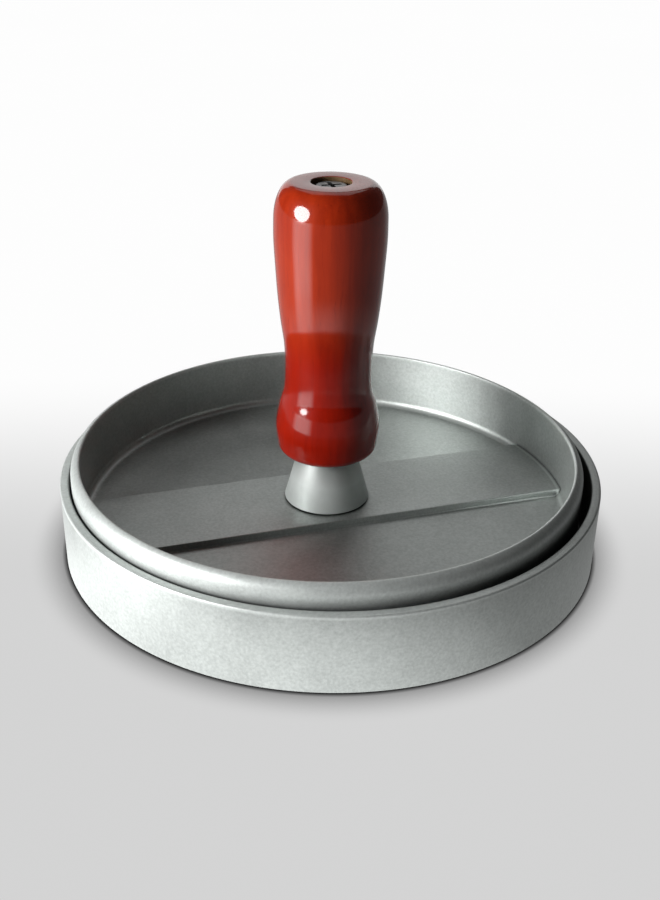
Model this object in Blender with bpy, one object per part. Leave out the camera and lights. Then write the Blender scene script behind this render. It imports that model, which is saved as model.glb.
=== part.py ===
"""Patty press: a round aluminium pan, a dished press plate that drops into it, and a turned wooden handle.

A ferrule stands on the plate's raised band, the handle stands on the ferrule, and one long screw,
sunk in the handle's top over two washers, clamps all three together. Metres, +Z up. The origin is
the centre of the pan's underside.
"""
import math

import bmesh
import bpy
from mathutils import Vector

# ---- driving dimensions ----
GAP = 0.0003                    # left between pieces that touch on the real object
TAU = 2 * math.pi

# Pan
PAN_RADIUS = 0.0628             # at the rim
PAN_DRAFT = 0.0002              # how much smaller the foot's radius is
PAN_WALL = 0.00215
PAN_HEIGHT = 0.0183
PAN_FLOOR = 0.0026
PAN_FOOT_ROUND = 0.0003         # rounding between the wall and the underside
PAN_RIM_ROUND = 0.0004

# Low rings cast into both faces that touch the meat
RIDGE_HEIGHT = 0.0007
RIDGE_HALF_WIDTH = 0.0014
RIDGE_RADII = (0.012, 0.023, 0.034, 0.045)

# Press plate
PLATE_RADIUS = 0.05935
PLATE_WALL = 0.00215
PLATE_RIM_Z = 0.0230
PLATE_FLOOR_Z = 0.0077
PLATE_RIM_INNER_ROUND = 0.0004
PLATE_RIM_MEETING = 64          # degrees where the rim's outer round meets the small inner one
PLATE_COVE = 0.0019             # inside corner between the floor and the wall
PLATE_EDGE_ROUND = 0.0012       # outside corner between the wall and the underside
BAND_HALF_WIDTH = 0.0125        # raised band across the floor
BAND_TOP_Z = 0.0095
BAND_CHAMFER = 0.0003

# Where the plate stands inside the pan: pushed to one side of its play, almost touching the wall
PRESS_PLAY = 0.00095
PRESS_PUSH_ANGLE = math.radians(189)

# Ferrule and handle
FERRULE_FOOT_RADIUS = 0.00995
FERRULE_NECK_RADIUS = 0.0069
FERRULE_EDGE = 0.0003
HANDLE_FOOT_Z = 0.0220
HANDLE_TOP_Z = 0.0855
HANDLE_FOOT_RADIUS = 0.0088
HANDLE_TOP_RADIUS = 0.0084

# M4 machine screw with a cheese head, and its two washers
SCREW_RADIUS = 0.0020
SCREW_CLEARANCE_RADIUS = 0.00225
SCREW_HEAD_RADIUS = 0.0035
SCREW_HEAD_HEIGHT = 0.0026
SCREW_HEAD_SUNK = 0.0007        # head's top below the handle's top
SCREW_TIP_Z = 0.0060
RECESS_ARM_LENGTH = 0.0044
RECESS_ARM_WIDTH = 0.0010
RECESS_DEPTH = 0.0014
FLAT_WASHER_RADIUS = 0.0040
FLAT_WASHER_THICKNESS = 0.0008
LOCK_WASHER_RADIUS = 0.0038
LOCK_WASHER_THICKNESS = 0.0009
LOCK_WASHER_SPLIT = math.radians(12)
COUNTERBORE_RADIUS = 0.0044
TAPPED_HOLE_FLOOR_Z = 0.0057

LARGE_ROUND = 72                # sides of the pan and the plate
SMALL_ROUND = 36                # sides of the handle and the ferrule
TINY_ROUND = 24                 # sides of the screw and its washers
SHARP_ANGLE = math.radians(35)  # steeper edges are shaded as creases

# Worked out from the above
PAN_BORE = PAN_RADIUS - PAN_WALL
PLATE_UNDER_Z = PAN_FLOOR + 2 * RIDGE_HEIGHT + GAP
PLATE_BORE = PLATE_RADIUS - PLATE_WALL
SCREW_HEAD_TOP_Z = HANDLE_TOP_Z - SCREW_HEAD_SUNK
SCREW_HEAD_FOOT_Z = SCREW_HEAD_TOP_Z - SCREW_HEAD_HEIGHT
LOCK_WASHER_Z = SCREW_HEAD_FOOT_Z - GAP - LOCK_WASHER_THICKNESS
FLAT_WASHER_Z = LOCK_WASHER_Z - GAP - FLAT_WASHER_THICKNESS
COUNTERBORE_FLOOR_Z = FLAT_WASHER_Z - GAP


def metal(name, colour, roughness):
    """A plain metal material."""
    return surface(name, colour, roughness, 1.0)


def surface(name, colour, roughness, metallic):
    """A Principled BSDF material with one colour."""
    material = bpy.data.materials.new(name)
    material.use_nodes = True
    shader = material.node_tree.nodes["Principled BSDF"]
    shader.inputs["Base Color"].default_value = (*colour, 1.0)
    shader.inputs["Roughness"].default_value = roughness
    shader.inputs["Metallic"].default_value = metallic
    return material


def arc(centre, radius, start_degrees, end_degrees, steps):
    """Points (r, z) along an arc in the half-plane of a turned outline."""
    points = []
    for step in range(steps + 1):
        angle = math.radians(start_degrees + (end_degrees - start_degrees) * step / steps)
        points.append((centre[0] + radius * math.cos(angle), centre[1] + radius * math.sin(angle)))
    return points


def turned_mesh(outline, sides):
    """A closed mesh from a closed (r, z) outline that runs anticlockwise, spun about Z."""
    bm = bmesh.new()
    verts = [bm.verts.new((radius, 0.0, height)) for radius, height in outline]
    edges = []
    for index, vert in enumerate(verts):
        following = verts[(index + 1) % len(verts)]
        on_axis = vert.co.x == 0.0 and following.co.x == 0.0
        if not on_axis:
            edges.append(bm.edges.new((vert, following)))
    bmesh.ops.spin(bm, geom=verts + edges, cent=(0, 0, 0), axis=(0, 0, 1), dvec=(0, 0, 0),
                   angle=TAU, steps=sides, use_merge=True)
    bmesh.ops.remove_doubles(bm, verts=bm.verts, dist=1e-6)
    bmesh.ops.recalc_face_normals(bm, faces=bm.faces)
    return bm


def new_object(name, bm, material, parent=None):
    """Turns a bmesh into a named, smooth-shaded object."""
    mesh = bpy.data.meshes.new(name)
    bm.to_mesh(mesh)
    bm.free()
    mesh.shade_smooth()
    mesh.set_sharp_from_angle(angle=SHARP_ANGLE)
    if material:
        mesh.materials.append(material)
    piece = bpy.data.objects.new(name, mesh)
    bpy.context.scene.collection.objects.link(piece)
    piece.parent = parent
    return piece


def boolean(piece, other, operation):
    """Joins or cuts a piece with a helper solid, which is left out of the model."""
    other.hide_render = True
    other.display_type = "WIRE"
    modifier = piece.modifiers.new(other.name, "BOOLEAN")
    modifier.operation = operation
    modifier.object = other
    modifier.solver = "EXACT"


def axis_empty(name, location, parent=None):
    """An empty on a joint's axis."""
    empty = bpy.data.objects.new(name, None)
    empty.location = location
    empty.parent = parent
    bpy.context.scene.collection.objects.link(empty)
    return empty


def ridge_points(face_z, direction):
    """Outline points of the ridge rings, from the middle outwards, on a face at face_z."""
    points = []
    for radius in RIDGE_RADII:
        points.append((radius - RIDGE_HALF_WIDTH, face_z))
        points.append((radius, face_z + direction * RIDGE_HEIGHT))
        points.append((radius + RIDGE_HALF_WIDTH, face_z))
    return points


def make_base_pan():
    """The straight-walled pan that shapes the patty's edge and underside."""
    foot_radius = PAN_RADIUS - PAN_DRAFT
    outline = [(0.0, 0.0)]
    outline += arc((foot_radius - PAN_FOOT_ROUND, PAN_FOOT_ROUND), PAN_FOOT_ROUND, -90, 0, 2)
    rim_centre_z = PAN_HEIGHT - PAN_RIM_ROUND
    outline += arc((PAN_RADIUS - PAN_RIM_ROUND, rim_centre_z), PAN_RIM_ROUND, 0, 90, 2)
    outline += arc((PAN_BORE + PAN_RIM_ROUND, rim_centre_z), PAN_RIM_ROUND, 90, 180, 2)
    outline.append((PAN_BORE, PAN_FLOOR))
    outline += reversed(ridge_points(PAN_FLOOR, 1))
    outline.append((0.0, PAN_FLOOR))
    cast = metal("pan_aluminium", (0.62, 0.64, 0.63), 0.45)
    return new_object("base_pan", turned_mesh(outline, LARGE_ROUND), cast)


def plate_rim():
    """The rim's section: a wide round on the outer side that meets a small round at the inner edge."""
    inner = PLATE_RIM_INNER_ROUND
    inner_centre = (PLATE_BORE + inner, PLATE_RIM_Z - inner)
    across = math.cos(math.radians(PLATE_RIM_MEETING))
    up = math.sin(math.radians(PLATE_RIM_MEETING))
    outer = (PLATE_RADIUS - inner_centre[0] - inner * across) / (1 - across)
    outer_centre = (PLATE_RADIUS - outer, inner_centre[1] + (inner - outer) * up)
    outer_points = arc(outer_centre, outer, 0, PLATE_RIM_MEETING, 4)
    return outer_points + arc(inner_centre, inner, PLATE_RIM_MEETING, 180, 3)[1:]


def plate_outline():
    """The dished plate's section, from the middle of its underside round to the middle of its floor."""
    outline = [(0.0, PLATE_UNDER_Z)]
    outline += ridge_points(PLATE_UNDER_Z, -1)
    edge_centre = (PLATE_RADIUS - PLATE_EDGE_ROUND, PLATE_UNDER_Z + PLATE_EDGE_ROUND)
    outline += arc(edge_centre, PLATE_EDGE_ROUND, -90, 0, 3)
    outline += plate_rim()
    outline += arc((PLATE_BORE - PLATE_COVE, PLATE_FLOOR_Z + PLATE_COVE), PLATE_COVE, 0, -90, 4)
    outline.append((0.0, PLATE_FLOOR_Z))
    return outline


def band_mesh():
    """The raised band: a bevelled bar whose ends follow the plate's wall and stay inside it."""
    end_radius = PLATE_BORE + PLATE_WALL / 2
    corner = math.asin(BAND_HALF_WIDTH / end_radius)
    end_steps = 6
    rim = []
    for middle in (0.0, math.pi):
        for step in range(end_steps + 1):
            angle = middle - corner + 2 * corner * step / end_steps
            rim.append((end_radius * math.cos(angle), end_radius * math.sin(angle)))
    bm = bmesh.new()
    base_z = (PLATE_UNDER_Z + PLATE_FLOOR_Z) / 2
    face = bm.faces.new([bm.verts.new((x, y, base_z)) for x, y in rim])
    top = bmesh.ops.extrude_face_region(bm, geom=[face])["geom"]
    top_verts = [item for item in top if isinstance(item, bmesh.types.BMVert)]
    bmesh.ops.translate(bm, verts=top_verts, vec=(0, 0, BAND_TOP_Z - base_z))
    long_top_edges = [edge for edge in bm.edges if is_long_top_edge(edge)]
    bmesh.ops.bevel(bm, geom=long_top_edges, offset=BAND_CHAMFER, segments=1, affect="EDGES")
    bmesh.ops.recalc_face_normals(bm, faces=bm.faces)
    return bm


def is_long_top_edge(edge):
    """True for the band's two long upper edges."""
    start, end = (vert.co for vert in edge.verts)
    at_top = min(start.z, end.z) > BAND_TOP_Z - GAP
    return at_top and edge.calc_length() > PLATE_RADIUS


def make_press_plate(parent):
    """The dished plate, its raised band, and the blind tapped hole in the band's middle."""
    cast = metal("plate_aluminium", (0.62, 0.64, 0.63), 0.42)
    plate = new_object("press_plate", turned_mesh(plate_outline(), LARGE_ROUND), cast, parent)
    boolean(plate, new_object("band_solid", band_mesh(), None, parent), "UNION")
    hole_radius = SCREW_RADIUS + GAP
    hole_top_z = PLATE_RIM_Z
    outline = [(0.0, TAPPED_HOLE_FLOOR_Z), (hole_radius, TAPPED_HOLE_FLOOR_Z)]
    outline += [(hole_radius, hole_top_z), (0.0, hole_top_z)]
    hole = new_object("tapped_hole_cutter", turned_mesh(outline, TINY_ROUND), None, parent)
    boolean(plate, hole, "DIFFERENCE")
    return plate


def make_ferrule(parent):
    """The cone between the plate and the handle, bored for the screw."""
    foot_z = BAND_TOP_Z + GAP
    neck_z = HANDLE_FOOT_Z - GAP
    outline = [
        (SCREW_CLEARANCE_RADIUS, foot_z),
        (FERRULE_FOOT_RADIUS - FERRULE_EDGE, foot_z),
        (FERRULE_FOOT_RADIUS, foot_z + FERRULE_EDGE),
        (FERRULE_NECK_RADIUS, neck_z - FERRULE_EDGE),
        (FERRULE_NECK_RADIUS - FERRULE_EDGE, neck_z),
        (SCREW_CLEARANCE_RADIUS, neck_z),
    ]
    satin = metal("ferrule_aluminium", (0.72, 0.73, 0.72), 0.35)
    return new_object("handle_ferrule", turned_mesh(outline, SMALL_ROUND), satin, parent)


# The handle's swelling side: height above its foot and radius, from the foot's round to the shoulder
HANDLE_SIDE = (
    (0.0025, 0.01155),
    (0.0070, 0.01205),
    (0.0120, 0.01122),
    (0.0160, 0.01018),
    (0.0210, 0.00990),
    (0.0268, 0.01010),
    (0.0325, 0.01090),
    (0.0385, 0.01155),
    (0.0450, 0.01202),
    (0.0510, 0.01238),
    (0.0555, 0.01238),
)


def smooth_through(points, steps):
    """A Catmull-Rom curve through (height, radius) points."""
    curve = []
    last = len(points) - 1
    for index in range(last):
        before = Vector(points[max(index - 1, 0)])
        start = Vector(points[index])
        end = Vector(points[index + 1])
        after = Vector(points[min(index + 2, last)])
        for step in range(steps):
            t = step / steps
            linear = (end - before) * t
            square = (2 * before - 5 * start + 4 * end - after) * t ** 2
            cube = (3 * start - before - 3 * end + after) * t ** 3
            curve.append(tuple(start + (linear + square + cube) / 2))
    curve.append(tuple(points[last]))
    return curve


def handle_outline():
    """The turned handle's section, with its screw hole and the counterbore in its top."""
    side = [(radius, HANDLE_FOOT_Z + height) for height, radius in smooth_through(HANDLE_SIDE, 2)]
    foot_start = side[0]
    foot_round = quarter((HANDLE_FOOT_RADIUS, HANDLE_FOOT_Z), foot_start, "foot")
    shoulder_start = side[-1]
    shoulder = quarter(shoulder_start, (HANDLE_TOP_RADIUS, HANDLE_TOP_Z), "shoulder")
    outline = [(SCREW_CLEARANCE_RADIUS, HANDLE_FOOT_Z)]
    outline += foot_round[:-1] + side[:-1] + shoulder
    outline.append((COUNTERBORE_RADIUS, HANDLE_TOP_Z))
    outline.append((COUNTERBORE_RADIUS, COUNTERBORE_FLOOR_Z))
    outline.append((SCREW_CLEARANCE_RADIUS, COUNTERBORE_FLOOR_Z))
    return outline


def quarter(start, end, place):
    """A quarter of an ellipse between two (r, z) points: upright where it meets the handle's side."""
    steps = 5
    points = []
    for step in range(steps + 1):
        angle = math.pi / 2 * step / steps
        if place == "foot":
            across, up = math.sin(angle), 1 - math.cos(angle)
        else:
            across, up = 1 - math.cos(angle), math.sin(angle)
        points.append((start[0] + (end[0] - start[0]) * across, start[1] + (end[1] - start[1]) * up))
    return points


def make_handle_grip(parent):
    """The turned wooden grip."""
    lacquer = surface("red_lacquered_wood", (0.55, 0.03, 0.01), 0.12, 0.0)
    return new_object("handle_grip", turned_mesh(handle_outline(), SMALL_ROUND), lacquer, parent)


def make_flat_washer(parent):
    """The flat washer on the counterbore's floor."""
    top_z = FLAT_WASHER_Z + FLAT_WASHER_THICKNESS
    outline = [
        (SCREW_CLEARANCE_RADIUS, FLAT_WASHER_Z),
        (FLAT_WASHER_RADIUS, FLAT_WASHER_Z),
        (FLAT_WASHER_RADIUS, top_z),
        (SCREW_CLEARANCE_RADIUS, top_z),
    ]
    zinc = metal("washer_zinc", (0.55, 0.55, 0.53), 0.3)
    return new_object("flat_washer", turned_mesh(outline, TINY_ROUND), zinc, parent)


def make_lock_washer(parent):
    """The split spring washer, pressed flat: a square-section ring with a narrow gap."""
    top_z = LOCK_WASHER_Z + LOCK_WASHER_THICKNESS
    section = [
        (SCREW_CLEARANCE_RADIUS, LOCK_WASHER_Z),
        (LOCK_WASHER_RADIUS, LOCK_WASHER_Z),
        (LOCK_WASHER_RADIUS, top_z),
        (SCREW_CLEARANCE_RADIUS, top_z),
    ]
    bm = bmesh.new()
    start = bm.faces.new([bm.verts.new((radius, 0.0, height)) for radius, height in section])
    bmesh.ops.spin(bm, geom=[start], cent=(0, 0, 0), axis=(0, 0, 1), dvec=(0, 0, 0),
                   angle=TAU - LOCK_WASHER_SPLIT, steps=TINY_ROUND)
    bmesh.ops.recalc_face_normals(bm, faces=bm.faces)
    steel = metal("lock_washer_steel", (0.40, 0.40, 0.39), 0.35)
    return new_object("lock_washer", bm, steel, parent)


def recess_mesh():
    """The cross that is cut into the screw's head: a twelve-cornered face, extruded upwards."""
    arm = RECESS_ARM_LENGTH / 2
    side = RECESS_ARM_WIDTH / 2
    quarter_corners = ((arm, -side), (arm, side), (side, side))
    floor_z = SCREW_HEAD_TOP_Z - RECESS_DEPTH
    bm = bmesh.new()
    rim = []
    for turn in range(4):
        cosine, sine = round(math.cos(turn * TAU / 4)), round(math.sin(turn * TAU / 4))
        for x, y in quarter_corners:
            rim.append(bm.verts.new((x * cosine - y * sine, x * sine + y * cosine, floor_z)))
    face = bm.faces.new(rim)
    top = bmesh.ops.extrude_face_region(bm, geom=[face])["geom"]
    top_verts = [item for item in top if isinstance(item, bmesh.types.BMVert)]
    bmesh.ops.translate(bm, verts=top_verts, vec=(0, 0, 2 * RECESS_DEPTH))
    bmesh.ops.recalc_face_normals(bm, faces=bm.faces)
    return bm


def make_screw(parent):
    """The long machine screw, with a cross recess in its head."""
    head_edge = 0.0003
    tip_edge = 0.0005
    outline = [
        (0.0, SCREW_TIP_Z),
        (SCREW_RADIUS - tip_edge, SCREW_TIP_Z),
        (SCREW_RADIUS, SCREW_TIP_Z + tip_edge),
        (SCREW_RADIUS, SCREW_HEAD_FOOT_Z),
        (SCREW_HEAD_RADIUS, SCREW_HEAD_FOOT_Z),
        (SCREW_HEAD_RADIUS, SCREW_HEAD_TOP_Z - head_edge),
        (SCREW_HEAD_RADIUS - head_edge, SCREW_HEAD_TOP_Z),
        (0.0, SCREW_HEAD_TOP_Z),
    ]
    zinc = metal("screw_zinc", (0.50, 0.52, 0.50), 0.25)
    screw = new_object("handle_screw", turned_mesh(outline, TINY_ROUND), zinc, parent)
    boolean(screw, new_object("recess_cutter", recess_mesh(), None, parent), "DIFFERENCE")
    return screw


def main():
    for old in list(bpy.data.objects):
        bpy.data.objects.remove(old)
    make_base_pan()
    push = Vector((math.cos(PRESS_PUSH_ANGLE), math.sin(PRESS_PUSH_ANGLE), 0.0)) * PRESS_PLAY
    press_axis = axis_empty("press_axis", push)
    make_press_plate(press_axis)
    make_ferrule(press_axis)
    make_handle_grip(press_axis)
    screw_axis = axis_empty("screw_axis", (0, 0, 0), press_axis)
    make_flat_washer(screw_axis)
    make_lock_washer(screw_axis)
    make_screw(screw_axis)


main()
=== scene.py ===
"""The patty press's looks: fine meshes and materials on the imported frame, on a pale studio floor."""

import math

import bmesh
import bpy
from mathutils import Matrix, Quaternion, Vector


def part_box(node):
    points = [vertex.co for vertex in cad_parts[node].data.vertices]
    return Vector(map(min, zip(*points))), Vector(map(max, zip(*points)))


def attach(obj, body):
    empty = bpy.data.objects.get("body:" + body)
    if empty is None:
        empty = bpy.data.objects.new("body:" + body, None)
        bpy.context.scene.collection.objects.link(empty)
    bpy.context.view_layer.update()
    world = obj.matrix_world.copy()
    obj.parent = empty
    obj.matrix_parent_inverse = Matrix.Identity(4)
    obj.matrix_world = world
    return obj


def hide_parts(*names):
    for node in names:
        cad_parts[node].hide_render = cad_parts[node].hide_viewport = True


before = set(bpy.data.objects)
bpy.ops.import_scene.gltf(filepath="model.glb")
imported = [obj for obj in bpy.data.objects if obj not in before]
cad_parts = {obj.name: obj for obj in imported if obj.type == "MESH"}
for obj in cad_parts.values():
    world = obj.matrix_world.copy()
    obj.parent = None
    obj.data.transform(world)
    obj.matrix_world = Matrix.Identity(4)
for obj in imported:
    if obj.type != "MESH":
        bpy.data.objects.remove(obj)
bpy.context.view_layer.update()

TAU = 2 * math.pi
MM = 0.001

# ---- sizes from the frame, metres ----
_, pan_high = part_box("base_pan")
plate_low, plate_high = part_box("press_plate")
ferrule_low, ferrule_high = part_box("handle_ferrule")
grip_low, grip_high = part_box("handle_grip")
screw_low, screw_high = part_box("handle_screw")
flat_low, flat_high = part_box("flat_washer")
lock_low, lock_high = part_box("lock_washer")

PAN_RADIUS = pan_high.x
PAN_HEIGHT = pan_high.z
PAN_DRAFT = 0.2 * MM
PAN_BORE = PAN_RADIUS - 2.15 * MM
PAN_FLOOR = 2.6 * MM
RIDGE_HEIGHT = 0.7 * MM
RIDGE_HALF_WIDTH = 1.4 * MM
RIDGE_RADII = (12 * MM, 23 * MM, 34 * MM, 45 * MM)

PRESS_CENTRE = Vector(((plate_low.x + plate_high.x) / 2, (plate_low.y + plate_high.y) / 2, 0))
PLATE_RADIUS = (plate_high.x - plate_low.x) / 2
PLATE_RIM_Z = plate_high.z
PLATE_UNDER_Z = plate_low.z + RIDGE_HEIGHT
PLATE_BORE = PLATE_RADIUS - 2.15 * MM
BAND_TOP_Z = ferrule_low.z - 0.3 * MM
PLATE_FLOOR_Z = BAND_TOP_Z - 1.8 * MM
BAND_HALF_WIDTH = 12.5 * MM

FERRULE_FOOT_RADIUS = (ferrule_high.x - ferrule_low.x) / 2
FERRULE_NECK_RADIUS = 6.9 * MM
GRIP_FOOT_Z = grip_low.z
GRIP_TOP_Z = grip_high.z
SCREW_HOLE_RADIUS = 2.25 * MM
COUNTERBORE_RADIUS = 4.4 * MM
COUNTERBORE_FLOOR_Z = flat_low.z - 0.3 * MM

LARGE_ROUND = 256
SMALL_ROUND = 128
TINY_ROUND = 64
SHARP_ANGLE = math.radians(32)


# ---- mesh helpers ----
def arc(centre, radius, start_degrees, end_degrees, steps=6):
    """Points (r, z) along an arc of a turned outline."""
    points = []
    for step in range(steps + 1):
        angle = math.radians(start_degrees + (end_degrees - start_degrees) * step / steps)
        points.append((centre[0] + radius * math.cos(angle), centre[1] + radius * math.sin(angle)))
    return points


def smooth_through(points, steps):
    """A Catmull-Rom curve through a list of points."""
    curve = []
    last = len(points) - 1
    for index in range(last):
        before = Vector(points[max(index - 1, 0)])
        start = Vector(points[index])
        end = Vector(points[index + 1])
        after = Vector(points[min(index + 2, last)])
        for step in range(steps):
            t = step / steps
            linear = (end - before) * t
            square = (2 * before - 5 * start + 4 * end - after) * t ** 2
            cube = (3 * start - before - 3 * end + after) * t ** 3
            curve.append(tuple(start + (linear + square + cube) / 2))
    curve.append(tuple(points[last]))
    return curve


def turned(outline, sides):
    """A closed bmesh: the closed (r, z) outline spun about Z."""
    bm = bmesh.new()
    rings = []
    for radius, height in outline:
        if radius == 0:
            rings.append([bm.verts.new((0, 0, height))])
            continue
        ring = []
        for side in range(sides):
            angle = TAU * side / sides
            ring.append(bm.verts.new((radius * math.cos(angle), radius * math.sin(angle), height)))
        rings.append(ring)
    for index, ring in enumerate(rings):
        following = rings[(index + 1) % len(rings)]
        if len(ring) == 1 and len(following) == 1:
            continue
        for side in range(sides):
            after = (side + 1) % sides
            corners = [ring[side % len(ring)], ring[after % len(ring)]]
            corners += [following[after % len(following)], following[side % len(following)]]
            bm.faces.new(list(dict.fromkeys(corners)))
    bmesh.ops.recalc_face_normals(bm, faces=bm.faces)
    return bm


def make_piece(name, bm, centre=None):
    """A named, smooth-shaded object from a bmesh, moved to centre."""
    mesh = bpy.data.meshes.new(name)
    if centre:
        bmesh.ops.translate(bm, verts=bm.verts, vec=centre)
    bm.to_mesh(mesh)
    bm.free()
    mesh.shade_smooth()
    mesh.set_sharp_from_angle(angle=SHARP_ANGLE)
    piece = bpy.data.objects.new(name, mesh)
    bpy.context.scene.collection.objects.link(piece)
    return piece


def cut_or_join(piece, helper, operation):
    """Applies a Boolean with a helper solid, then removes the helper."""
    modifier = piece.modifiers.new("shape", "BOOLEAN")
    modifier.operation = operation
    modifier.object = helper
    modifier.solver = "EXACT"
    graph = bpy.context.evaluated_depsgraph_get()
    shaped = bpy.data.meshes.new_from_object(piece.evaluated_get(graph))
    piece.modifiers.clear()
    piece.data = shaped
    shaped.shade_smooth()
    shaped.set_sharp_from_angle(angle=SHARP_ANGLE)
    bpy.data.objects.remove(helper)


def finish_piece(piece, node, body, material):
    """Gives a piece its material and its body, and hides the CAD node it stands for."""
    piece.data.materials.clear()
    piece.data.materials.append(material)
    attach(piece, body)
    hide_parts(node)


# ---- shader helpers ----
class Shader:
    """Short calls for building one node material."""

    def __init__(self, name):
        self.material = bpy.data.materials.new(name)
        self.material.use_nodes = True
        self.tree = self.material.node_tree
        self.surface = self.tree.nodes["Principled BSDF"]
        self.position = self.node("ShaderNodeTexCoord").outputs["Object"]

    def node(self, kind, **settings):
        made = self.tree.nodes.new(kind)
        for key, value in settings.items():
            setattr(made, key, value)
        return made

    def link(self, source, target):
        if hasattr(source, "is_output"):
            self.tree.links.new(source, target)
        else:
            target.default_value = source

    def stretched(self, scale):
        """Object coordinates, scaled."""
        mapping = self.node("ShaderNodeMapping")
        mapping.inputs["Scale"].default_value = scale
        self.link(self.position, mapping.inputs["Vector"])
        return mapping.outputs["Vector"]

    def noise(self, vector, scale, detail=3.0, roughness=0.5, distortion=0.0):
        made = self.node("ShaderNodeTexNoise")
        self.link(vector, made.inputs["Vector"])
        made.inputs["Scale"].default_value = scale
        made.inputs["Detail"].default_value = detail
        made.inputs["Roughness"].default_value = roughness
        made.inputs["Distortion"].default_value = distortion
        return made.outputs["Fac"]

    def math(self, operation, first, second=0.0, clamp=False):
        made = self.node("ShaderNodeMath", operation=operation, use_clamp=clamp)
        self.link(first, made.inputs[0])
        self.link(second, made.inputs[1])
        return made.outputs[0]

    def spread(self, value, from_low, from_high, to_low, to_high):
        made = self.node("ShaderNodeMapRange")
        self.link(value, made.inputs["Value"])
        made.inputs["From Min"].default_value = from_low
        made.inputs["From Max"].default_value = from_high
        made.inputs["To Min"].default_value = to_low
        made.inputs["To Max"].default_value = to_high
        return made.outputs["Result"]

    def mix(self, factor, first, second):
        made = self.node("ShaderNodeMix", data_type="RGBA")
        self.link(factor, made.inputs["Factor"])
        self.link(first, made.inputs["A"])
        self.link(second, made.inputs["B"])
        return made.outputs["Result"]

    def towards(self, direction, outer_degrees, inner_degrees):
        """1 where a point lies within inner_degrees of a level direction, fading to 0 at outer_degrees."""
        unit = self.node("ShaderNodeVectorMath", operation="NORMALIZE")
        self.link(self.position, unit.inputs[0])
        cosine = self.node("ShaderNodeVectorMath", operation="DOT_PRODUCT")
        self.link(unit.outputs["Vector"], cosine.inputs[0])
        cosine.inputs[1].default_value = direction
        outer, inner = math.cos(math.radians(outer_degrees)), math.cos(math.radians(inner_degrees))
        return self.spread(cosine.outputs["Value"], outer, inner, 0.0, 1.0)

    def bump(self, height, strength, distance, normal=None):
        made = self.node("ShaderNodeBump")
        made.inputs["Strength"].default_value = strength
        made.inputs["Distance"].default_value = distance
        self.link(height, made.inputs["Height"])
        if normal is not None:
            self.link(normal, made.inputs["Normal"])
        return made.outputs["Normal"]

    def polar(self, centre):
        """The distance from the vertical axis through centre, and the height."""
        apart = self.node("ShaderNodeSeparateXYZ")
        self.link(self.position, apart.inputs["Vector"])
        x = self.math("SUBTRACT", apart.outputs["X"], centre.x)
        y = self.math("SUBTRACT", apart.outputs["Y"], centre.y)
        squares = self.math("ADD", self.math("MULTIPLY", x, x), self.math("MULTIPLY", y, y))
        return self.math("SQRT", squares), apart.outputs["Z"]


def grey(value):
    return (value, value, value, 1.0)


def tinted(value):
    """A faintly green grey, as cast aluminium has."""
    return (value * 0.945, value, value * 0.97, 1.0)


# ---- materials ----
CAST_SHADE = 0.46
CAST_METALLIC = 0.9
CAST_ROUGHNESS = 0.48
RIM_SHADE = 0.6
RIM_METALLIC = 0.45
# Painted shade: the colour that creases and narrow gaps darken to
CREASE_PAINTED_SHADE = 0.03
# The colour of a painted highlight: a pale line in the plate's cove
PAINTED_COVE_HIGHLIGHT = 0.8
EDGE_FADE = 0.4 * MM
# How far the painted shade looks for creases and gaps beyond matt_radius
OUTER_PAINTED_SHADE_REACH = 5 * MM


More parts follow.
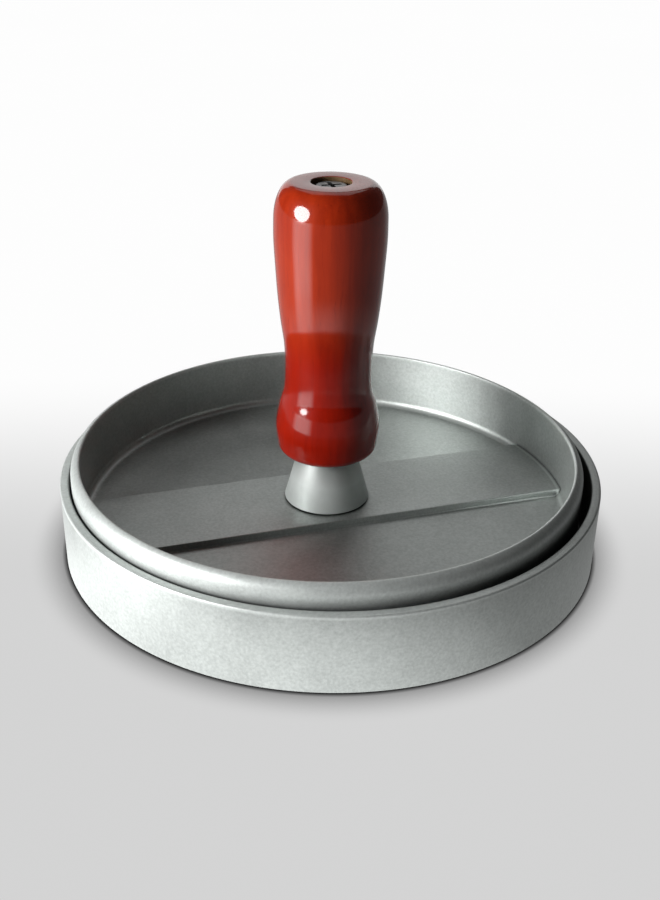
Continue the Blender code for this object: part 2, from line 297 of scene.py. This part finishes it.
def cast_aluminium(name, centre, rim_z, matt_radius, painted_shade_radius, painted_shade_reach, cove_radius=0.0):
    """Blasted cast aluminium, finely grained and softly blotched. It is paler and more matt at the rim
    and beyond matt_radius. Painted shade: ambient occlusion darkens creases and narrow gaps within the
    radius given for the painted shade; it looks as far as the reach given for it, and further beyond
    matt_radius. A painted highlight, a pale line, runs round the inside at cove_radius, if one is given."""
    shader = Shader(name)
    radius, height = shader.polar(centre)
    blotch = shader.noise(shader.position, 90, 4, 0.6)
    grain = shader.noise(shader.position, 1500, 2, 0.6)
    fleck = shader.noise(shader.position, 3200, 2, 0.5)
    tone = shader.math("ADD", shader.math("MULTIPLY", grain, 0.6), shader.math("MULTIPLY", blotch, 0.4))
    mottle = shader.spread(tone, 0.35, 0.65, 0.0, 1.0)
    colour = shader.mix(mottle, tinted(CAST_SHADE * 0.86), tinted(CAST_SHADE * 1.14))
    outer = shader.spread(radius, matt_radius, matt_radius + EDGE_FADE, 0.0, 1.0)
    crease = shader.node("ShaderNodeAmbientOcclusion", samples=12)
    reach = shader.spread(outer, 0.0, 1.0, painted_shade_reach, OUTER_PAINTED_SHADE_REACH)
    shader.link(reach, crease.inputs["Distance"])
    # Painted shade: darker where ambient occlusion finds a crease or a narrow gap
    painted_shade = shader.spread(crease.outputs["AO"], 0.35, 0.8, 0.75, 0.0)
    inside = shader.spread(radius, painted_shade_radius, painted_shade_radius + EDGE_FADE, 1.0, 0.0)
    rim = shader.spread(height, rim_z - 1.0 * MM, rim_z - 0.4 * MM, 0.0, 1.0)
    matt = shader.math("MAXIMUM", rim, outer)
    pale = shader.mix(mottle, tinted(RIM_SHADE * 0.9), tinted(RIM_SHADE * 1.1))
    colour = shader.mix(matt, colour, pale)
    colour = shader.mix(shader.math("MULTIPLY", painted_shade, inside), colour, tinted(CREASE_PAINTED_SHADE))
    if cove_radius:
        # Painted highlight: a pale line round the inside of the cove
        off_line = shader.math("ABSOLUTE", shader.math("SUBTRACT", radius, cove_radius))
        painted_highlight = shader.spread(off_line, 0.15 * MM, 0.5 * MM, 0.5, 0.0)
        colour = shader.mix(painted_highlight, colour, tinted(PAINTED_COVE_HIGHLIGHT))
    shader.link(colour, shader.surface.inputs["Base Color"])
    metallic = shader.spread(matt, 0.0, 1.0, CAST_METALLIC, RIM_METALLIC)
    shader.link(metallic, shader.surface.inputs["Metallic"])
    rough = shader.spread(blotch, 0.3, 0.7, CAST_ROUGHNESS - 0.03, CAST_ROUGHNESS + 0.03)
    shader.link(rough, shader.surface.inputs["Roughness"])
    coarse = shader.bump(grain, 0.5, 0.06 * MM)
    fine = shader.bump(fleck, 0.4, 0.03 * MM, coarse)
    shader.link(fine, shader.surface.inputs["Normal"])
    return shader.material


SATIN_SHADE = 0.6
# Painted shadow under the grip: its colour, and how far below the neck it fades
NECK_PAINTED_SHADOW = 0.12
NECK_FADE = 6 * MM


def satin_aluminium(name, centre, neck_z):
    """Turned and lightly brushed aluminium, with a painted shadow of the grip that darkens it towards the
    neck.
    """
    shader = Shader(name)
    radius, height = shader.polar(centre)
    lathe = shader.node("ShaderNodeCombineXYZ")
    shader.link(radius, lathe.inputs["X"])
    shader.link(height, lathe.inputs["Z"])
    lines = shader.noise(lathe.outputs["Vector"], 5200, 3, 0.6)
    blotch = shader.noise(shader.position, 160, 3, 0.6)
    mottle = shader.spread(blotch, 0.3, 0.7, 0.0, 1.0)
    colour = shader.mix(mottle, tinted(SATIN_SHADE - 0.04), tinted(SATIN_SHADE + 0.04))
    # Painted shadow of the grip's overhang, darkest at the neck
    grip_painted_shadow = shader.spread(height, neck_z - NECK_FADE, neck_z, 0.0, 0.75)
    colour = shader.mix(grip_painted_shadow, colour, tinted(NECK_PAINTED_SHADOW))
    shader.link(colour, shader.surface.inputs["Base Color"])
    shader.surface.inputs["Metallic"].default_value = 0.4
    shader.link(shader.spread(lines, 0.3, 0.7, 0.38, 0.48), shader.surface.inputs["Roughness"])
    shader.link(shader.bump(lines, 0.25, 0.02 * MM), shader.surface.inputs["Normal"])
    return shader.material


# The wood's colours, linear RGB: dark grain, light grain and light clouds; bare wood has no clouds
UPPER_STAIN = ((0.21, 0.010, 0.001, 1), (0.33, 0.021, 0.003, 1), (0.42, 0.036, 0.005, 1))
LOWER_STAIN = ((0.20, 0.004, 0.0001, 1), (0.30, 0.007, 0.0002, 1), (0.38, 0.013, 0.0004, 1))
BARE_WOOD = ((0.09, 0.05, 0.02, 1), (0.20, 0.13, 0.07, 1))
PORE_COLOUR = (0.09, 0.002, 0.0004, 1)
STAIN_CHANGE_Z = GRIP_FOOT_Z + 30 * MM
STAIN_FADE = 6 * MM
DRILLED_RADIUS = COUNTERBORE_RADIUS + 0.04 * MM


def stained(shader, grain, clouded, colours):
    """Stained wood, its grain from dark to light, with lighter clouds."""
    dark, light, cloud = colours
    return shader.mix(clouded, shader.mix(grain, dark, light), cloud)


def lacquered_wood(name, centre):
    """Turned wood, stained orange-red above and deep red below, under a thick gloss lacquer.
    The drilled screw hole is bare wood."""
    shader = Shader(name)
    radius, height = shader.polar(centre)
    fibres = shader.noise(shader.stretched((1, 1, 0.06)), 420, 5, 0.65, 0.3)
    pores = shader.noise(shader.stretched((1, 1, 0.03)), 1900, 3, 0.6)
    cloud = shader.noise(shader.stretched((1, 1, 0.5)), 60, 3, 0.5)
    grain = shader.spread(fibres, 0.3, 0.7, 0, 1)
    clouded = shader.spread(cloud, 0.35, 0.7, 0, 0.5)
    upper = stained(shader, grain, clouded, UPPER_STAIN)
    lower = stained(shader, grain, clouded, LOWER_STAIN)
    above = shader.spread(height, STAIN_CHANGE_Z - STAIN_FADE, STAIN_CHANGE_Z + STAIN_FADE, 0, 1)
    stain = shader.mix(above, lower, upper)
    stain = shader.mix(shader.spread(pores, 0.62, 0.78, 0, 0.6), stain, PORE_COLOUR)
    drilled = shader.spread(radius, DRILLED_RADIUS, DRILLED_RADIUS + 0.08 * MM, 1, 0)
    bare = shader.mix(grain, *BARE_WOOD)
    shader.link(shader.mix(drilled, stain, bare), shader.surface.inputs["Base Color"])
    shader.surface.inputs["Roughness"].default_value = 0.42
    shader.surface.inputs["Specular IOR Level"].default_value = 0.05
    shader.link(shader.math("SUBTRACT", 1.0, drilled), shader.surface.inputs["Coat Weight"])
    shader.surface.inputs["Coat Roughness"].default_value = 0.08
    shader.surface.inputs["Coat IOR"].default_value = 1.52
    ripple = shader.noise(shader.stretched((1, 1, 0.4)), 130, 2, 0.5)
    shader.link(shader.bump(fibres, 0.15, 0.04 * MM), shader.surface.inputs["Normal"])
    shader.link(shader.bump(ripple, 0.2, 0.2 * MM), shader.surface.inputs["Coat Normal"])
    return shader.material


def plated_steel(name, shade, roughness):
    """Zinc-plated or plain steel: small fasteners."""
    shader = Shader(name)
    cloud = shader.noise(shader.position, 700, 3, 0.6)
    scratch = shader.noise(shader.stretched((1, 0.15, 1)), 6000, 2, 0.5)
    colour = shader.mix(shader.spread(cloud, 0.35, 0.65, 0, 1), grey(shade * 0.85), grey(shade * 1.1))
    shader.link(colour, shader.surface.inputs["Base Color"])
    shader.surface.inputs["Metallic"].default_value = 1.0
    rough = shader.spread(scratch, 0.3, 0.7, roughness * 0.8, roughness * 1.3)
    shader.link(rough, shader.surface.inputs["Roughness"])
    shader.link(shader.bump(scratch, 0.2, 0.02 * MM), shader.surface.inputs["Normal"])
    return shader.material


# ---- pieces ----
def ridge_outline(face_z, direction):
    """Soft-topped ridge rings from the middle outwards: raised cosines on a face at face_z."""
    steps = 8
    points = []
    for radius in RIDGE_RADII:
        for step in range(steps + 1):
            across = -1 + 2 * step / steps
            rise = RIDGE_HEIGHT * (1 + math.cos(math.pi * across)) / 2
            points.append((radius + across * RIDGE_HALF_WIDTH, face_z + direction * rise))
    return points


def build_pan():
    foot = 0.3 * MM
    foot_radius = PAN_RADIUS - PAN_DRAFT
    rim = 0.45 * MM
    inner_foot = 0.8 * MM
    outline = [(0.0, 0.0)]
    outline += arc((foot_radius - foot, foot), foot, -90, 0)
    outline += arc((PAN_RADIUS - rim, PAN_HEIGHT - rim), rim, 0, 90)
    outline += arc((PAN_BORE + rim, PAN_HEIGHT - rim), rim, 90, 180)
    outline += arc((PAN_BORE - inner_foot, PAN_FLOOR + inner_foot), inner_foot, 0, -90)
    outline += reversed(ridge_outline(PAN_FLOOR, 1))
    outline.append((0.0, PAN_FLOOR))
    piece = make_piece("base_pan_body", turned(outline, LARGE_ROUND))
    material = cast_aluminium(
        "pan_cast_aluminium",
        centre=Vector((0, 0, 0)),
        rim_z=PAN_HEIGHT,
        matt_radius=PAN_RADIUS + MM,
        # Painted shade inside the bore, from ambient occlusion that looks 6 mm out
        painted_shade_radius=PAN_BORE + 0.3 * MM,
        painted_shade_reach=6 * MM,
    )
    finish_piece(piece, "base_pan", "pan", material)


def band_solid():
    """The raised band: a long bar with filleted feet and softened top edges, its ends inside the wall."""
    fillet = 0.5 * MM
    edge = 0.22 * MM
    below = 0.02 * MM
    base_z = (PLATE_UNDER_Z + PLATE_FLOOR_Z) / 2
    foot_centre = (BAND_HALF_WIDTH + fillet, PLATE_FLOOR_Z - below + fillet)
    half = [(BAND_HALF_WIDTH + fillet, base_z)]
    half += arc(foot_centre, fillet, -90, -180)
    half += arc((BAND_HALF_WIDTH - edge, BAND_TOP_Z - edge), edge, 0, 90)
    section = half + [(-y, z) for y, z in reversed(half)]
    bm = bmesh.new()
    face = bm.faces.new([bm.verts.new((-PLATE_RADIUS, y, z)) for y, z in section])
    moved = bmesh.ops.extrude_face_region(bm, geom=[face])["geom"]
    far = [item for item in moved if isinstance(item, bmesh.types.BMVert)]
    bmesh.ops.translate(bm, verts=far, vec=(2 * PLATE_RADIUS, 0, 0))
    bmesh.ops.recalc_face_normals(bm, faces=bm.faces)
    band = make_piece("band_helper", bm, PRESS_CENTRE)
    end_radius = PLATE_BORE + 0.9 * MM
    disc = [(0.0, PLATE_UNDER_Z - MM), (end_radius, PLATE_UNDER_Z - MM)]
    disc += [(end_radius, PLATE_RIM_Z), (0.0, PLATE_RIM_Z)]
    cut_or_join(band, make_piece("disc_helper", turned(disc, LARGE_ROUND), PRESS_CENTRE), "INTERSECT")
    return band


def plate_rim():
    """The rim's outline: a wide round on its outer side that meets a small round at its inner edge."""
    meeting = 64
    inner = 0.4 * MM
    inner_centre = (PLATE_BORE + inner, PLATE_RIM_Z - inner)
    across, up = math.cos(math.radians(meeting)), math.sin(math.radians(meeting))
    outer = (PLATE_RADIUS - inner_centre[0] - inner * across) / (1 - across)
    outer_centre = (PLATE_RADIUS - outer, inner_centre[1] + (inner - outer) * up)
    return arc(outer_centre, outer, 0, meeting, 12) + arc(inner_centre, inner, meeting, 180)[1:]


def build_plate():
    cove = 1.9 * MM
    edge = 1.2 * MM
    outline = [(0.0, PLATE_UNDER_Z)]
    outline += ridge_outline(PLATE_UNDER_Z, -1)
    outline += arc((PLATE_RADIUS - edge, PLATE_UNDER_Z + edge), edge, -90, 0)
    outline += plate_rim()
    outline += arc((PLATE_BORE - cove, PLATE_FLOOR_Z + cove), cove, 0, -90, 12)
    outline.append((0.0, PLATE_FLOOR_Z))
    piece = make_piece("press_plate_body", turned(outline, LARGE_ROUND), PRESS_CENTRE)
    cut_or_join(piece, band_solid(), "UNION")
    hole_radius = 2.3 * MM
    hole_floor = 5.7 * MM
    hole = [(0.0, hole_floor), (hole_radius, hole_floor)]
    hole += [(hole_radius, BAND_TOP_Z + MM), (0.0, BAND_TOP_Z + MM)]
    cut_or_join(piece, make_piece("hole_helper", turned(hole, TINY_ROUND), PRESS_CENTRE), "DIFFERENCE")
    material = cast_aluminium(
        "plate_cast_aluminium",
        centre=PRESS_CENTRE,
        rim_z=PLATE_RIM_Z,
        matt_radius=PLATE_BORE + 0.2 * MM,
        # Painted shade all over, from ambient occlusion that looks 1.6 mm out inside and further on the
        # outer side
        painted_shade_radius=PLATE_RADIUS + MM,
        painted_shade_reach=1.6 * MM,
        # A painted highlight line in the cove
        cove_radius=PLATE_BORE - 0.8 * MM,
    )
    finish_piece(piece, "press_plate", "press", material)


def build_ferrule():
    edge = 0.3 * MM
    foot_z, neck_z = ferrule_low.z, ferrule_high.z
    outline = [(SCREW_HOLE_RADIUS, foot_z), (FERRULE_FOOT_RADIUS - edge, foot_z)]
    outline += arc((FERRULE_FOOT_RADIUS - edge, foot_z + edge), edge, -90, 0)[1:]
    outline += arc((FERRULE_NECK_RADIUS - edge, neck_z - edge), edge, 15, 90)
    outline.append((SCREW_HOLE_RADIUS, neck_z))
    piece = make_piece("ferrule_cone", turned(outline, SMALL_ROUND), PRESS_CENTRE)
    material = satin_aluminium("ferrule_satin_aluminium", PRESS_CENTRE, neck_z)
    finish_piece(piece, "handle_ferrule", "lift", material)


# The grip's swelling side: height above its foot and radius, mm
GRIP_SIDE = (
    (2.5, 11.55),
    (7.0, 12.05),
    (12.0, 11.22),
    (16.0, 10.18),
    (21.0, 9.90),
    (26.8, 10.10),
    (32.5, 10.90),
    (38.5, 11.55),
    (45.0, 12.02),
    (51.0, 12.38),
    (55.5, 12.38),
)
GRIP_FOOT_RADIUS = 8.8 * MM
GRIP_TOP_RADIUS = 8.4 * MM


def quarter_ellipse(start, end, upright_first, steps=14):
    """A quarter ellipse between two (r, z) points, upright at its first or its last point."""
    points = []
    for step in range(steps + 1):
        angle = math.pi / 2 * step / steps
        across, up = math.sin(angle), 1 - math.cos(angle)
        if upright_first:
            across, up = 1 - math.cos(angle), math.sin(angle)
        points.append((start[0] + (end[0] - start[0]) * across, start[1] + (end[1] - start[1]) * up))
    return points


def build_grip():
    side = [(radius * MM, GRIP_FOOT_Z + height * MM) for height, radius in smooth_through(GRIP_SIDE, 8)]
    lip = 0.3 * MM
    outline = [(SCREW_HOLE_RADIUS, GRIP_FOOT_Z)]
    outline += quarter_ellipse((GRIP_FOOT_RADIUS, GRIP_FOOT_Z), side[0], False)[:-1]
    outline += side[:-1]
    outline += quarter_ellipse(side[-1], (GRIP_TOP_RADIUS, GRIP_TOP_Z), True)
    outline += arc((COUNTERBORE_RADIUS + lip, GRIP_TOP_Z - lip), lip, 90, 180)
    outline.append((COUNTERBORE_RADIUS, COUNTERBORE_FLOOR_Z))
    outline.append((SCREW_HOLE_RADIUS, COUNTERBORE_FLOOR_Z))
    piece = make_piece("grip_turned_wood", turned(outline, SMALL_ROUND), PRESS_CENTRE)
    material = lacquered_wood("red_lacquered_wood", PRESS_CENTRE)
    finish_piece(piece, "handle_grip", "press", material)


def build_screw():
    head_radius = 3.5 * MM
    head_height = 2.6 * MM
    edge = 0.45 * MM
    shank = 2.0 * MM
    tip = 0.5 * MM
    top_z = screw_high.z
    outline = [(0.0, screw_low.z), (shank - tip, screw_low.z), (shank, screw_low.z + tip)]
    outline += [(shank, top_z - head_height), (head_radius, top_z - head_height)]
    outline += arc((head_radius - edge, top_z - edge), edge, 0, 90)
    outline.append((0.0, top_z))
    piece = make_piece("screw_cheese_head", turned(outline, TINY_ROUND), PRESS_CENTRE)
    cut_or_join(piece, recess_solid(top_z), "DIFFERENCE")
    material = plated_steel("zinc_plated_steel", 0.24, 0.35)
    finish_piece(piece, "handle_screw", "screw", material)


def recess_solid(top_z):
    """The tapered cross in the screw's head."""
    arm = 2.2 * MM
    side = 0.5 * MM
    depth = 1.4 * MM
    bm = bmesh.new()
    levels = []
    for height, taper in ((top_z - depth, 0.55), (top_z, 1.0), (top_z + depth, 1.0)):
        ring = []
        for turn in range(4):
            cosine, sine = round(math.cos(turn * TAU / 4)), round(math.sin(turn * TAU / 4))
            for x, y in ((arm * taper, -side), (arm * taper, side), (side, side)):
                ring.append(bm.verts.new((x * cosine - y * sine, x * sine + y * cosine, height)))
        levels.append(ring)
    bm.faces.new(levels[0])
    bm.faces.new(levels[-1])
    for lower, upper in zip(levels, levels[1:]):
        for index in range(len(lower)):
            after = (index + 1) % len(lower)
            bm.faces.new((lower[index], lower[after], upper[after], upper[index]))
    bmesh.ops.recalc_face_normals(bm, faces=bm.faces)
    return make_piece("recess_helper", bm, PRESS_CENTRE)


def build_flat_washer():
    radius = (flat_high.x - flat_low.x) / 2
    edge = 0.15 * MM
    outline = [(SCREW_HOLE_RADIUS, flat_low.z), (radius - edge, flat_low.z), (radius, flat_low.z + edge)]
    outline += [(radius, flat_high.z - edge), (radius - edge, flat_high.z)]
    outline.append((SCREW_HOLE_RADIUS, flat_high.z))
    piece = make_piece("flat_washer_ring", turned(outline, TINY_ROUND), PRESS_CENTRE)
    material = plated_steel("washer_zinc_plated_steel", 0.5, 0.3)
    finish_piece(piece, "flat_washer", "washers", material)


def build_lock_washer():
    """The split spring washer: the CAD piece's outline with rounded edges."""
    radius = 3.8 * MM
    edge = 0.12 * MM
    split = math.radians(12)
    low, high = lock_low.z, lock_high.z
    section = [(SCREW_HOLE_RADIUS, low), (radius - edge, low), (radius, low + edge)]
    section += [(radius, high - edge), (radius - edge, high), (SCREW_HOLE_RADIUS, high)]
    bm = bmesh.new()
    rings = []
    for step in range(TINY_ROUND + 1):
        angle = (TAU - split) * step / TINY_ROUND
        rings.append([bm.verts.new((r * math.cos(angle), r * math.sin(angle), z)) for r, z in section])
    for first, second in zip(rings, rings[1:]):
        for index in range(len(section)):
            after = (index + 1) % len(section)
            bm.faces.new((first[index], first[after], second[after], second[index]))
    bm.faces.new(rings[0])
    bm.faces.new(rings[-1])
    bmesh.ops.recalc_face_normals(bm, faces=bm.faces)
    piece = make_piece("lock_washer_ring", bm, PRESS_CENTRE)
    material = plated_steel("spring_steel", 0.4, 0.35)
    finish_piece(piece, "lock_washer", "washers", material)


# ---- stage ----
KEY_RADIANCE = 20.5
SKIRT_RADIANCE = 1.2
OVERHEAD_RADIANCE = 0.72
BACK_RADIANCE = 0.85
WORLD_RADIANCE = 0.035
BACKDROP_WHITE = 0.985

CAMERA_AZIMUTH = math.radians(-17.5)
TO_RIGHT = Vector((math.cos(CAMERA_AZIMUTH), math.sin(CAMERA_AZIMUTH), 0))
TO_BACK = Vector((-math.sin(CAMERA_AZIMUTH), math.cos(CAMERA_AZIMUTH), 0))
UP = Vector((0, 0, 1))


def around(degrees_left, elevation, distance):
    """A point round the press: degrees to the left of the camera's side, elevation, distance."""
    left, rise = math.radians(degrees_left), math.radians(elevation)
    flat = -TO_RIGHT * math.sin(left) - TO_BACK * math.cos(left)
    return (flat * math.cos(rise) + UP * math.sin(rise)) * distance


def add_camera():
    """The camera: a little above the press, in front of it and slightly rolled."""
    elevation = math.radians(26.09)
    distance = 275.4 * MM
    roll = 0.0153
    back = -TO_BACK * math.cos(elevation) + UP * math.sin(elevation)
    target = TO_RIGHT * -0.96 * MM - TO_BACK * 0.3 * MM + UP * 28.1 * MM
    camera = bpy.data.cameras.new("camera")
    camera.lens = 47.3
    camera.sensor_width = 36
    camera.shift_x = 0.0031
    camera.shift_y = -0.0278
    camera.clip_start = 0.01
    holder = bpy.data.objects.new("camera", camera)
    holder.rotation_mode = "QUATERNION"
    holder.rotation_quaternion = (-back).to_track_quat("-Z", "Y") @ Quaternion((0, 0, 1), roll)
    holder.location = target + back * distance
    bpy.context.scene.collection.objects.link(holder)
    bpy.context.scene.camera = holder


def add_softbox(name, place, aim, width, height, radiance, shape="RECTANGLE"):
    """An area light of the given size and radiance, facing aim."""
    light = bpy.data.lights.new(name, "AREA")
    light.shape = shape
    light.size = width
    light.size_y = height
    area = width * height
    if shape == "ELLIPSE":
        area *= math.pi / 4
    light.energy = radiance * math.pi * area
    holder = bpy.data.objects.new(name, light)
    holder.location = place
    holder.rotation_mode = "QUATERNION"
    holder.rotation_quaternion = (aim - place).to_track_quat("-Z", "Y")
    bpy.context.scene.collection.objects.link(holder)


def add_lights():
    """Each softbox: its place round the press, its width and height in metres, and its radiance."""
    middle = Vector((0, 0, 30 * MM))
    add_softbox("key", around(61, 19, 0.55), middle, 0.34, 0.25, KEY_RADIANCE, "ELLIPSE")
    add_softbox("skirt", around(60, 4, 0.9), middle, 0.32, 0.26, SKIRT_RADIANCE, "ELLIPSE")
    add_softbox("overhead", around(180, 62, 0.7), middle, 0.5, 0.5, OVERHEAD_RADIANCE)
    add_softbox("back_panel", around(176, 14, 0.8), middle, 0.8, 0.5, BACK_RADIANCE)


def add_world():
    """Dim studio surroundings for the press itself, and a white backdrop for the camera."""
    world = bpy.data.worlds.new("studio")
    world.use_nodes = True
    nodes, links = world.node_tree.nodes, world.node_tree.links
    ground = nodes["Background"]
    ground.inputs["Color"].default_value = grey(WORLD_RADIANCE)
    backdrop = nodes.new("ShaderNodeBackground")
    backdrop.inputs["Color"].default_value = grey(BACKDROP_WHITE)
    path = nodes.new("ShaderNodeLightPath")
    choose = nodes.new("ShaderNodeMixShader")
    links.new(path.outputs["Is Camera Ray"], choose.inputs["Fac"])
    links.new(ground.outputs["Background"], choose.inputs[1])
    links.new(backdrop.outputs["Background"], choose.inputs[2])
    links.new(choose.outputs["Shader"], nodes["World Output"].inputs["Surface"])
    bpy.context.scene.world = world


# The floor's glow as the press sees it: a strip of light under the key, a pool in front, the sweep behind
FLOOR_GLOW = 0.18
NEAR_GLOW = 0.25
STRIP_GLOW = 2.5
POOL_GLOW = 1.2
SWEEP_GLOW = 0.15
LEFT_GLOW = 0.15
FLOOR_NEAR = 0.655
FLOOR_HALF_WIDTH = 3.0


def floor_glow(shader):
    """How brightly the floor lights the press, by direction and distance from the pan."""
    distance, _ = shader.polar(Vector((0, 0, 0)))
    near = shader.spread(distance, 80 * MM, 130 * MM, 1.0, 0.0)
    far = shader.math("SUBTRACT", 1.0, near)
    along = shader.spread(distance, 70 * MM, 150 * MM, 0.15, 1.0)
    strip = shader.math("MULTIPLY", shader.towards(around(58, 0, 1), 24, 13), along)
    pool = shader.math("MULTIPLY", shader.towards(around(36, 0, 1), 78, 25), near)
    sweep = shader.math("MULTIPLY", shader.towards(around(180, 0, 1), 50, 25), far)
    glow = shader.math("ADD", shader.math("MULTIPLY", strip, STRIP_GLOW), FLOOR_GLOW)
    glow = shader.math("ADD", shader.math("MULTIPLY", pool, POOL_GLOW), glow)
    left = shader.math("MULTIPLY", shader.towards(around(108, 0, 1), 50, 35), far)
    glow = shader.math("ADD", shader.math("MULTIPLY", left, LEFT_GLOW), glow)
    glow = shader.math("ADD", shader.math("MULTIPLY", near, NEAR_GLOW), glow)
    return shader.math("ADD", shader.math("MULTIPLY", sweep, SWEEP_GLOW), glow)


def floor_material():
    """A pale sweep: light grey in front, fading to white behind, with a soft contact shadow.
    The camera sees an even sweep; the press is lit by, and reflects, a floor with pools of light."""
    shader = Shader("pale_floor")
    along = shader.node("ShaderNodeVectorMath", operation="DOT_PRODUCT")
    shader.link(shader.position, along.inputs[0])
    along.inputs[1].default_value = TO_BACK
    fade = shader.node("ShaderNodeMapRange", interpolation_type="SMOOTHSTEP")
    shader.link(along.outputs["Value"], fade.inputs["Value"])
    fade.inputs["From Min"].default_value = -25 * MM
    fade.inputs["From Max"].default_value = 92 * MM
    fade.inputs["To Min"].default_value = FLOOR_NEAR
    fade.inputs["To Max"].default_value = BACKDROP_WHITE
    mottle = shader.noise(shader.position, 6, 2, 0.5)
    tone = shader.math("MULTIPLY", fade.outputs["Result"], shader.spread(mottle, 0, 1, 0.995, 1.005))
    occlusion = shader.node("ShaderNodeAmbientOcclusion", samples=16)
    occlusion.inputs["Distance"].default_value = 9 * MM
    open_sky = shader.spread(occlusion.outputs["AO"], 0.45, 0.97, 0.0, 1.0)
    shade = shader.spread(shader.math("POWER", open_sky, 0.8), 0.0, 1.0, 0.25, 1.0)
    distance, _ = shader.polar(Vector((0, 0, 0)))
    contact = shader.spread(distance, PAN_RADIUS - 0.1 * MM, PAN_RADIUS + 0.9 * MM, 0.12, 1.0)
    shade = shader.math("MULTIPLY", shade, contact)
    seen = shader.node("ShaderNodeEmission")
    shader.link(shader.math("MULTIPLY", tone, shade), seen.inputs["Color"])
    glowing = shader.node("ShaderNodeEmission")
    shader.link(floor_glow(shader), glowing.inputs["Strength"])
    path = shader.node("ShaderNodeLightPath")
    choose = shader.node("ShaderNodeMixShader")
    shader.link(path.outputs["Is Camera Ray"], choose.inputs["Fac"])
    shader.link(glowing.outputs["Emission"], choose.inputs[1])
    shader.link(seen.outputs["Emission"], choose.inputs[2])
    output = shader.tree.nodes["Material Output"]
    shader.link(choose.outputs["Shader"], output.inputs["Surface"])
    return shader.material


def add_floor():
    bm = bmesh.new()
    bmesh.ops.create_grid(bm, x_segments=1, y_segments=1, size=FLOOR_HALF_WIDTH)
    floor = make_piece("floor", bm)
    floor.data.materials.append(floor_material())


build_pan()
build_plate()
build_ferrule()
build_grip()
build_flat_washer()
build_lock_washer()
build_screw()
add_camera()
add_lights()
add_world()
add_floor()
bpy.context.scene.view_settings.view_transform = "Standard"
